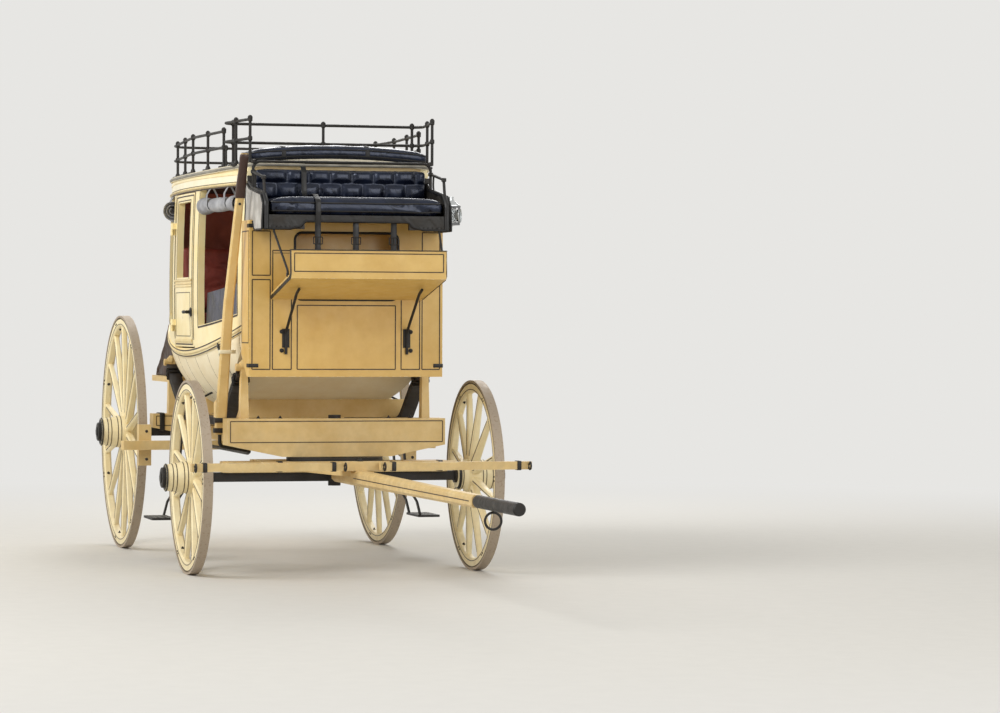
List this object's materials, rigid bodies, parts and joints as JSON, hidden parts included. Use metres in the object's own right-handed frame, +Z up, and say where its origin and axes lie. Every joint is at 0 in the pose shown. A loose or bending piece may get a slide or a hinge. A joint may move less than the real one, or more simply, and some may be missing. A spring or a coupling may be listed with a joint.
{
  "type": "stagecoach",
  "caption": "Four-wheeled passenger coach slung on leather braces, with side doors, driver's seat, railed roof, rear boot, steered fore-carriage and draught pole.",
  "frame": {"origin": "on the ground, midway along and across the whole coach with its pole", "axes": "+X forward along the pole, +Y to the coach's left, +Z up"},
  "size_m": [6.585, 1.89, 2.4516],
  "materials": {
    "yellow_paint": "straw-yellow coach paint with dark striping, worn",
    "belly_paint": "dusty buff paint",
    "roof_canvas": "painted cream canvas",
    "iron": "black forged iron",
    "tyre_iron": "worn dusty iron",
    "black_leather": "glossy black leather",
    "brace_leather": "greased harness leather",
    "boot_leather": "dull brown leather",
    "curtain_leather": "grey worn leather",
    "lining_cloth": "maroon cloth",
    "bench_wood": "stained wood",
    "lamp_metal": "black enamel with bright trim",
    "lamp_glass": "clear pane"
  },
  "bodies": {
    "coach": {"side_left": "yellow_paint", "side_right": "yellow_paint", "front_panel": "yellow_paint", "rear_panel": "yellow_paint", "front_boot": "yellow_paint", "footboard": "yellow_paint", "front_bolster": "yellow_paint", "rear_axle_bed": "yellow_paint", "reaches": "yellow_paint", "brake_beam": "yellow_paint", "brake_lever": "yellow_paint", "rear_platform": "yellow_paint", "front_standards": "yellow_paint", "rear_standards": "yellow_paint", "belly": "belly_paint", "floor": "belly_paint", "body_bearers": "belly_paint", "roof": "roof_canvas", "rear_axle": "iron", "fifth_wheel_upper": "iron", "king_bolt": "iron", "footboard_irons": "iron", "seat_irons": "iron", "roof_rail": "iron", "roof_seat_rail": "iron", "brake_rod": "iron", "steps": "iron", "driver_seat": "black_leather", "driver_cushion": "black_leather", "driver_back": "black_leather", "roof_cushion": "black_leather", "straps": "black_leather", "thoroughbraces": "brace_leather", "rear_boot_cover": "boot_leather", "curtain_rolls": "curtain_leather", "bench_cushions": "lining_cloth", "benches": "bench_wood", "lamp": "lamp_metal"},
    "fore_carriage": {"front_axle": "iron", "front_axle_bed": "yellow_paint", "hounds": "yellow_paint", "fifth_wheel_lower": "iron", "pole": "yellow_paint", "pole_irons": "iron", "evener": "yellow_paint", "singletrees": "yellow_paint"},
    "wheel_front_left": {"wheel_front_left_wood": "yellow_paint", "wheel_front_left_tyre": "tyre_iron"},
    "wheel_front_right": {"wheel_front_right_wood": "yellow_paint", "wheel_front_right_tyre": "tyre_iron"},
    "wheel_rear_left": {"wheel_rear_left_wood": "yellow_paint", "wheel_rear_left_tyre": "tyre_iron"},
    "wheel_rear_right": {"wheel_rear_right_wood": "yellow_paint", "wheel_rear_right_tyre": "tyre_iron"},
    "door_left": {"door_left": "yellow_paint"},
    "door_right": {"door_right": "yellow_paint"}
  },
  "joints": [
    {"name": "steering", "type": "hinge", "parent": "coach", "child": "fore_carriage", "pos_m": [-0.3475, 0, 0.608], "axis": [0, 0, 1], "range_deg": [-18, 18]},
    {"name": "wheel_front_left_spin", "type": "hinge", "parent": "fore_carriage", "child": "wheel_front_left", "pos_m": [-0.3475, 0.7875, 0.5185], "axis": [0, 1, 0], "continuous": true},
    {"name": "wheel_front_right_spin", "type": "hinge", "parent": "fore_carriage", "child": "wheel_front_right", "pos_m": [-0.3475, -0.7875, 0.5185], "axis": [0, 1, 0], "continuous": true},
    {"name": "wheel_rear_left_spin", "type": "hinge", "parent": "coach", "child": "wheel_rear_left", "pos_m": [-2.5575, 0.7875, 0.6925], "axis": [0, 1, 0], "continuous": true},
    {"name": "wheel_rear_right_spin", "type": "hinge", "parent": "coach", "child": "wheel_rear_right", "pos_m": [-2.5575, -0.7875, 0.6925], "axis": [0, 1, 0], "continuous": true},
    {"name": "door_left_hinge", "type": "hinge", "parent": "coach", "child": "door_left", "pos_m": [-1.7055, 0.64944, 1.6], "axis": [0, 0, 1], "range_deg": [0, 85]},
    {"name": "door_right_hinge", "type": "hinge", "parent": "coach", "child": "door_right", "pos_m": [-1.7055, -0.64944, 1.6], "axis": [0, 0, -1], "range_deg": [0, 85]}
  ]
}
